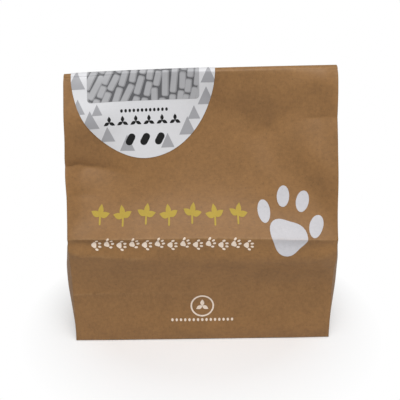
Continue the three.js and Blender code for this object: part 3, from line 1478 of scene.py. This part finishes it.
    def triangles(self) -> list[np.ndarray]:
        """Grey triangles round the margin, cut off at the label's edge.

        Returns:
            The outlines that are left, as x and run.
        """
        width, height = self.triangle
        spots = (
            (-58, 16, 1.0), (-57, 38, 0.8), (-47, 52, 1.0), (-33, 65, 0.85), (-41, 40, 0.6),
            (57, 14, 0.9), (55, 34, 1.0), (44, 47, 0.75), (38, 61, 1.0), (20, 72, 0.8), (-16, 74, 0.9),
        )
        window = self.outline()
        shapes = []
        for x, down, scale in spots:
            for face in (-1.0, 1.0):
                w, h = width * scale / 2, height * scale
                corners = np.array([(-w, 0.0), (w, 0.0), (0.0, h)]) * (1.0, -face)
                corners = corners[::-1] if face > 0 else corners
                shapes.append(clipped(corners + (self.centre + x, face * down), window))
        return [shape for shape in shapes if len(shape) > 2]

    def black_shapes(self) -> list[np.ndarray]:
        """Small plain shapes on both halves, in three rows of growing weight.

        Returns:
            Their outlines, as x and run.
        """
        shapes = []
        for face in (-1.0, 1.0):
            dots, stars, bars = (
                [(self.centre + start + number * pitch, face * drop) for number in range(count)]
                for (start, pitch, count), drop in zip(
                    (self.dot_row, self.star_row, self.bar_row), self.row_drops
                )
            )
            shapes += [oval(spot, self.dot_radii, 0.0, DOT_CORNERS) for spot in dots]
            shapes += [leaf(spot, *self.star_leaf, turn * -face) for spot in stars for turn in THREE_WAYS]
            shapes += [rod(spot, *self.bar_size, self.bar_turn * -face) for spot in bars]
        return shapes

    def build_prints(self, inks: dict[Ink, bpy.types.Material]) -> list[bpy.types.Object]:
        """Makes the label's printed pieces, one layer over another.

        Args:
            inks: The material of each ink.

        Returns:
            The pieces.
        """
        rods = self.pellets()
        base = self.glue + self.thickness
        shaded = self.rod_shapes(rods, self.pellet_width, 0.0)
        lit = self.rod_shapes(rods, self.pellet_width - self.pellet_shade, self.pellet_lit_shift)
        layers = (
            ("label_field_print", Ink.GAP, [self.field()], 0.05),
            ("label_pellet_shades_print", Ink.SHADED_PELLET, shaded, 0.08),
            ("label_pellets_print", Ink.PELLET, lit, 0.11),
            ("label_triangle_print", Ink.GREY, self.triangles(), 0.06),
            ("label_black_print", Ink.BLACK, self.black_shapes(), 0.08),
        )
        return [
            PrintLayer(name, inks[ink], self.form, base + lift).build(shapes)
            for name, ink, shapes, lift in layers
        ]


class Ink(Enum):
    """The printed colours, as display values from 0 to 1."""

    YELLOW = (0.71, 0.61, 0.25)
    WHITE = (0.79, 0.785, 0.80)
    CREAM = (0.93, 0.86, 0.79)
    GREY = (0.64, 0.64, 0.655)
    BLACK = (0.03, 0.03, 0.033)
    GAP = (0.37, 0.37, 0.38)
    SHADED_PELLET = (0.58, 0.58, 0.59)
    PELLET = (0.68, 0.68, 0.69)


def linear(colour: Sequence[float]) -> tuple[float, float, float, float]:
    """A display colour as the linear colour that a shader takes."""
    return (*(c / 12.92 if c <= 0.04045 else ((c + 0.055) / 1.055) ** 2.4 for c in colour), 1.0)


class FibreGroup:
    """The shader group that gives every paper and ink its fibres, mottling, specks and wear."""

    NAME = "paper fibre"
    # Scale, detail and roughness of each noise, and how the fibres are drawn out and shared
    CLOUD = (55.0, 4.0, 0.6)
    CLOUDLET = (330.0, 3.0, 0.6)
    UPRIGHT = (2300.0, 2.0, 0.6)
    LYING = (1900.0, 2.0, 0.6)
    UPRIGHT_STRETCH = (1.0, 1.0, 0.09)
    LYING_STRETCH = (0.1, 0.1, 1.0)
    UPRIGHT_SHARE = 0.6
    LYING_SHARE = 0.4
    SPECK = (700.0, 1.0, 0.5)
    SPECK_RANGE = (0.68, 0.76)
    SPECK_COLOUR = (0.09, 0.05, 0.025, 1.0)
    RUBBED_RANGE = (0.3, 0.62)
    RUBBED_MOST = 0.55
    # Each noise's share in the colour, and their sum at which the colour stays as it is
    CLOUD_SHARE = 0.4
    CLOUDLET_SHARE = 0.5
    FIBRE_SHARE = 0.6
    EVEN_SUM = 0.75
    SHADE_SWING = 4.0
    ROUGH_SWING = 0.25
    CLOUDLET_HEIGHT = 0.8

    @classmethod
    def get(cls) -> bpy.types.ShaderNodeTree:
        """The group, built at the first call."""
        return bpy.data.node_groups.get(cls.NAME) or cls.build()

    @classmethod
    def build(cls) -> bpy.types.ShaderNodeTree:
        """Builds the group.

        Returns:
            A group that turns a paper's colour, and values for its texture, into varied outputs.
        """
        tree = bpy.data.node_groups.new(cls.NAME, "ShaderNodeTree")
        face = tree.interface
        for name, kind, value in (
            ("Colour", "NodeSocketColor", (0.5, 0.5, 0.5, 1.0)),
            ("Worn colour", "NodeSocketColor", (0.8, 0.8, 0.8, 1.0)),
            ("Wear", "NodeSocketFloat", 0.0),
            ("Mottle", "NodeSocketFloat", 0.1),
            ("Specks", "NodeSocketFloat", 0.3),
            ("Roughness", "NodeSocketFloat", 0.8),
        ):
            face.new_socket(name, in_out="INPUT", socket_type=kind).default_value = value
        face.new_socket("Colour", in_out="OUTPUT", socket_type="NodeSocketColor")
        face.new_socket("Roughness", in_out="OUTPUT", socket_type="NodeSocketFloat")
        face.new_socket("Height", in_out="OUTPUT", socket_type="NodeSocketFloat")
        nodes = Nodes(tree)
        given = tree.nodes.new("NodeGroupInput")
        result = tree.nodes.new("NodeGroupOutput")
        place = tree.nodes.new("ShaderNodeTexCoord").outputs["Object"]
        cloud = nodes.noise(place, *cls.CLOUD)
        cloudlet = nodes.noise(place, *cls.CLOUDLET)
        upright = nodes.noise(nodes.stretched(place, cls.UPRIGHT_STRETCH), *cls.UPRIGHT)
        lying = nodes.noise(nodes.stretched(place, cls.LYING_STRETCH), *cls.LYING)
        fibres = nodes.weighted((upright, cls.UPRIGHT_SHARE), (lying, cls.LYING_SHARE))
        mixed = nodes.weighted(
            (cloud, cls.CLOUD_SHARE), (cloudlet, cls.CLOUDLET_SHARE), (fibres, cls.FIBRE_SHARE)
        )
        swing = nodes.math("MULTIPLY", nodes.math("SUBTRACT", mixed, cls.EVEN_SUM), given.outputs["Mottle"])
        shade = tree.nodes.new("ShaderNodeHueSaturation")
        tree.links.new(nodes.math("MULTIPLY_ADD", swing, cls.SHADE_SWING, 1.0), shade.inputs["Value"])
        tree.links.new(given.outputs["Colour"], shade.inputs["Color"])
        speck = nodes.ranged(nodes.noise(place, *cls.SPECK), *cls.SPECK_RANGE)
        dark = nodes.mixed_colour(
            nodes.math("MULTIPLY", speck, given.outputs["Specks"]),
            shade.outputs["Color"], cls.SPECK_COLOUR,
        )
        patches = nodes.ranged(cloudlet, *cls.RUBBED_RANGE)
        rubbed = nodes.math("MULTIPLY", given.outputs["Wear"], patches)
        share = nodes.math("MULTIPLY", rubbed, cls.RUBBED_MOST)
        worn = nodes.mixed_colour(share, dark, given.outputs["Worn colour"])
        tree.links.new(worn, result.inputs["Colour"])
        uneven = nodes.math("SUBTRACT", fibres, 0.5)
        rough = nodes.math("MULTIPLY_ADD", uneven, cls.ROUGH_SWING, given.outputs["Roughness"])
        tree.links.new(rough, result.inputs["Roughness"])
        height = nodes.math("ADD", fibres, nodes.math("MULTIPLY", cloudlet, cls.CLOUDLET_HEIGHT))
        tree.links.new(height, result.inputs["Height"])
        return tree


@dataclass
class Nodes:
    """Short ways to add nodes to a tree."""

    tree: bpy.types.ShaderNodeTree

    def put(self, value: object, socket: bpy.types.NodeSocket) -> None:
        """Links a socket, or sets a plain value.

        Args:
            value: The socket or value to put in.
            socket: The input that takes it.
        """
        if isinstance(value, bpy.types.NodeSocket):
            self.tree.links.new(value, socket)
        else:
            socket.default_value = value

    def noise(
        self, place: bpy.types.NodeSocket, scale: float, detail: float, rough: float
    ) -> bpy.types.NodeSocket:
        """A noise value over the surface.

        Args:
            place: The coordinates.
            scale: Hills in a metre, roughly.
            detail: Number of finer layers.
            rough: How strong the finer layers are.

        Returns:
            The value's socket.
        """
        node = self.tree.nodes.new("ShaderNodeTexNoise")
        self.put(place, node.inputs["Vector"])
        node.inputs["Scale"].default_value = scale
        node.inputs["Detail"].default_value = detail
        node.inputs["Roughness"].default_value = rough
        return node.outputs["Fac"]

    def stretched(
        self, place: bpy.types.NodeSocket, scale: tuple[float, float, float]
    ) -> bpy.types.NodeSocket:
        """Coordinates scaled by axis.

        Args:
            place: The coordinates.
            scale: The factor of each axis. A small one draws a noise out along it.

        Returns:
            The scaled coordinates' socket.
        """
        node = self.tree.nodes.new("ShaderNodeMapping")
        self.put(place, node.inputs["Vector"])
        node.inputs["Scale"].default_value = scale
        return node.outputs["Vector"]

    def math(self, kind: str, *values: object) -> bpy.types.NodeSocket:
        """The result of a Math node.

        Args:
            kind: The node's operation.
            values: Its inputs in order, sockets or plain numbers.

        Returns:
            The result's socket.
        """
        node = self.tree.nodes.new("ShaderNodeMath")
        node.operation = kind
        for value, socket in zip(values, node.inputs):
            self.put(value, socket)
        return node.outputs["Value"]

    def weighted(self, *terms: tuple[bpy.types.NodeSocket, float]) -> bpy.types.NodeSocket:
        """A sum of values, each times its share.

        Args:
            terms: Each value and its share.

        Returns:
            The sum's socket.
        """
        total, *others = (self.math("MULTIPLY", value, share) for value, share in terms)
        for other in others:
            total = self.math("ADD", total, other)
        return total

    def ranged(self, value: bpy.types.NodeSocket, low: float, high: float) -> bpy.types.NodeSocket:
        """A value brought to 0 at low and to 1 at high.

        Args:
            value: The value.
            low: Where it becomes 0.
            high: Where it becomes 1.

        Returns:
            The result's socket.
        """
        node = self.tree.nodes.new("ShaderNodeMapRange")
        self.put(value, node.inputs["Value"])
        node.inputs["From Min"].default_value = low
        node.inputs["From Max"].default_value = high
        return node.outputs["Result"]

    def mixed_colour(self, share: object, first: object, second: object) -> bpy.types.NodeSocket:
        """A mix of two colours.

        Args:
            share: The share of the second, from 0 to 1.
            first: The first colour, a socket or a value.
            second: The second colour, a socket or a value.

        Returns:
            The mixed colour's socket.
        """
        node = self.tree.nodes.new("ShaderNodeMix")
        node.data_type = "RGBA"
        self.put(share, node.inputs[0])
        self.put(first, self.colour_socket(node.inputs, "A"))
        self.put(second, self.colour_socket(node.inputs, "B"))
        return self.colour_socket(node.outputs, "Result")

    @staticmethod
    def colour_socket(sockets: Sequence[bpy.types.NodeSocket], name: str) -> bpy.types.NodeSocket:
        """The colour socket among those of one name on a Mix node."""
        return next(socket for socket in sockets if socket.name == name and socket.type == "RGBA")


@dataclass(frozen=True)
class PaperFinish:
    """A paper or an ink on it: its colours, texture and gloss."""

    name: str
    colour: Sequence[float]
    worn: Sequence[float]
    mottle: float
    specks: float
    roughness: float
    bump: float
    specular: float = 0.4
    bump_depth: float = 0.12

    def build(self) -> bpy.types.Material:
        """Makes the material.

        Returns:
            A Principled material whose colour, roughness and bump come from the fibre group.
        """
        material = bpy.data.materials.new(self.name)
        material.use_nodes = True
        tree = material.node_tree
        shader = tree.nodes["Principled BSDF"]
        shader.inputs["Specular IOR Level"].default_value = self.specular
        group = tree.nodes.new("ShaderNodeGroup")
        group.node_tree = FibreGroup.get()
        group.inputs["Colour"].default_value = linear(self.colour)
        group.inputs["Worn colour"].default_value = linear(self.worn)
        group.inputs["Mottle"].default_value = self.mottle
        group.inputs["Specks"].default_value = self.specks
        group.inputs["Roughness"].default_value = self.roughness
        wear = tree.nodes.new("ShaderNodeAttribute")
        wear.attribute_name = "fold_wear"
        bump = tree.nodes.new("ShaderNodeBump")
        bump.inputs["Strength"].default_value = self.bump
        bump.inputs["Distance"].default_value = self.bump_depth * MM
        tree.links.new(wear.outputs["Fac"], group.inputs["Wear"])
        tree.links.new(group.outputs["Colour"], shader.inputs["Base Color"])
        tree.links.new(group.outputs["Roughness"], shader.inputs["Roughness"])
        tree.links.new(group.outputs["Height"], bump.inputs["Height"])
        tree.links.new(bump.outputs["Normal"], shader.inputs["Normal"])
        return material


KRAFT = PaperFinish(
    name="kraft paper", colour=(0.56, 0.408, 0.24), worn=(0.69, 0.56, 0.40),
    mottle=0.24, specks=0.35, roughness=0.6, bump=0.7,
)
KRAFT_INK = replace(KRAFT, mottle=0.09, specks=0.12, roughness=0.7, bump=0.45, specular=0.3)
LABEL = PaperFinish(
    name="label paper", colour=(0.85, 0.85, 0.86), worn=(0.86, 0.86, 0.86),
    mottle=0.03, specks=0.0, roughness=0.5, bump=0.2,
)
KRAFT_INKS = (Ink.YELLOW, Ink.WHITE, Ink.CREAM)


def ink_finish(ink: Ink) -> PaperFinish:
    """The finish of an ink, which keeps the texture of the paper under it."""
    name = f"{ink.name.lower().replace('_', ' ')} ink"
    return replace(KRAFT_INK if ink in KRAFT_INKS else LABEL, name=name, colour=ink.value)


@dataclass
class Studio:
    """The pale floor, the soft light and the camera."""

    target: tuple[float, float, float] = (-1.8, 0.0, 123.0)
    distance: float = 523.4
    pitch_deg: float = 20.5
    yaw_deg: float = -1.37
    focal_pixels: float = 546.9
    picture_pixels: float = 400.0
    sensor: float = 36.0
    clip_start: float = 10.0
    lamp_height_deg: float = 67.0
    lamp_right: float = 0.03
    lamp_distance: float = 1500.0
    lamp_size: float = 900.0
    lamp_power: float = 19.8
    sky: float = 0.275
    floor_half: float = 3000.0
    floor_drop: float = 0.2
    floor_colour: tuple[float, float, float, float] = (0.94, 0.94, 0.945, 1.0)
    floor_roughness: float = 0.9
    floor_fade: tuple[float, float] = (100.0, 180.0)

    def camera(self) -> None:
        """Puts the camera at the photograph's angle and distance."""
        data = bpy.data.cameras.new("camera")
        data.sensor_width = self.sensor
        data.lens = self.sensor * self.focal_pixels / self.picture_pixels
        data.clip_start = self.clip_start * MM
        camera = bpy.data.objects.new("camera", data)
        bpy.context.scene.collection.objects.link(camera)
        pitch = math.radians(self.pitch_deg)
        spin = Matrix.Rotation(math.radians(self.yaw_deg), 4, "Z")
        back = spin @ Vector((0.0, -math.cos(pitch), math.sin(pitch)))
        place = (Vector(self.target) + back * self.distance) * MM
        camera.matrix_world = Matrix.Translation(place) @ spin @ Matrix.Rotation(math.pi / 2 - pitch, 4, "X")
        bpy.context.scene.camera = camera

    def lamp(self) -> None:
        """Hangs one broad lamp above and in front."""
        data = bpy.data.lights.new("lamp", "AREA")
        data.shape = "SQUARE"
        data.size = self.lamp_size * MM
        data.energy = self.lamp_power
        lamp = bpy.data.objects.new("lamp", data)
        bpy.context.scene.collection.objects.link(lamp)
        high = math.radians(self.lamp_height_deg)
        way = Vector((self.lamp_right, -math.cos(high), math.sin(high))).normalized()
        lamp.location = (Vector(self.target) + way * self.lamp_distance) * MM
        lamp.rotation_euler = way.to_track_quat("Z", "Y").to_euler()

    def world(self) -> None:
        """Lights the scene evenly and shows white behind it."""
        world = bpy.data.worlds.new("studio")
        bpy.context.scene.world = world
        world.use_nodes = True
        tree = world.node_tree
        tree.nodes.clear()
        output = tree.nodes.new("ShaderNodeOutputWorld")
        plain = tree.nodes.new("ShaderNodeBackground")
        plain.inputs["Strength"].default_value = self.sky
        white = tree.nodes.new("ShaderNodeBackground")
        white.inputs["Strength"].default_value = 1.0
        for node in (plain, white):
            node.inputs["Color"].default_value = (1.0, 1.0, 1.0, 1.0)
        seen = tree.nodes.new("ShaderNodeLightPath")
        mix = tree.nodes.new("ShaderNodeMixShader")
        tree.links.new(seen.outputs["Is Camera Ray"], mix.inputs[0])
        tree.links.new(plain.outputs[0], mix.inputs[1])
        tree.links.new(white.outputs[0], mix.inputs[2])
        tree.links.new(mix.outputs[0], output.inputs[0])

    def floor(self) -> bpy.types.Object:
        """Lays a pale floor that keeps the bag's shadow and runs out to white.

        Returns:
            The floor.
        """
        mesh = bpy.data.meshes.new("floor")
        half = self.floor_half * MM
        corners = [(-half, -half, 0.0), (half, -half, 0.0), (half, half, 0.0), (-half, half, 0.0)]
        mesh.from_pydata(corners, [], [(0, 1, 2, 3)])
        floor = bpy.data.objects.new("floor", mesh)
        bpy.context.scene.collection.objects.link(floor)
        floor.location.z = -self.floor_drop * MM
        material = bpy.data.materials.new("pale floor")
        material.use_nodes = True
        tree = material.node_tree
        nodes = Nodes(tree)
        shader = tree.nodes["Principled BSDF"]
        shader.inputs["Base Color"].default_value = self.floor_colour
        shader.inputs["Roughness"].default_value = self.floor_roughness
        white = tree.nodes.new("ShaderNodeEmission")
        white.inputs["Strength"].default_value = 1.0
        place = tree.nodes.new("ShaderNodeTexCoord").outputs["Object"]
        away = tree.nodes.new("ShaderNodeVectorMath")
        away.operation = "LENGTH"
        tree.links.new(place, away.inputs[0])
        far = nodes.ranged(away.outputs["Value"], *(distance * MM for distance in self.floor_fade))
        seen = tree.nodes.new("ShaderNodeLightPath").outputs["Is Camera Ray"]
        mix = tree.nodes.new("ShaderNodeMixShader")
        tree.links.new(nodes.math("MULTIPLY", far, seen), mix.inputs[0])
        tree.links.new(shader.outputs[0], mix.inputs[1])
        tree.links.new(white.outputs[0], mix.inputs[2])
        tree.links.new(mix.outputs[0], tree.nodes["Material Output"].inputs["Surface"])
        mesh.materials.append(material)
        return floor


def main() -> None:
    """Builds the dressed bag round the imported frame."""
    logging.basicConfig(level=logging.INFO, format="%(message)s")
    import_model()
    bpy.context.scene.view_settings.view_transform = "Standard"
    studio = Studio()
    studio.camera()
    studio.lamp()
    studio.world()
    studio.floor()

    form = BagForm.from_frame()
    inks = {ink: ink_finish(ink).build() for ink in Ink}
    bag = PaperBag(form).build(KRAFT.build())
    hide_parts("paper_bag")
    label_maker = TopLabel.from_frame(form)
    label = label_maker.build_sheet(LABEL.build())
    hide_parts("top_label")
    on_bag = [bag, *FrontPrint(form).build(inks)]
    on_label = [label, *label_maker.build_prints(inks)]
    for slot, pieces in (("kraft_paper", on_bag), ("label_paper", on_label)):
        for piece in pieces:
            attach(piece, "root")
            LOG.info("%s: %d faces", piece.name, len(piece.data.polygons))


if __name__ == "__main__":
    main()
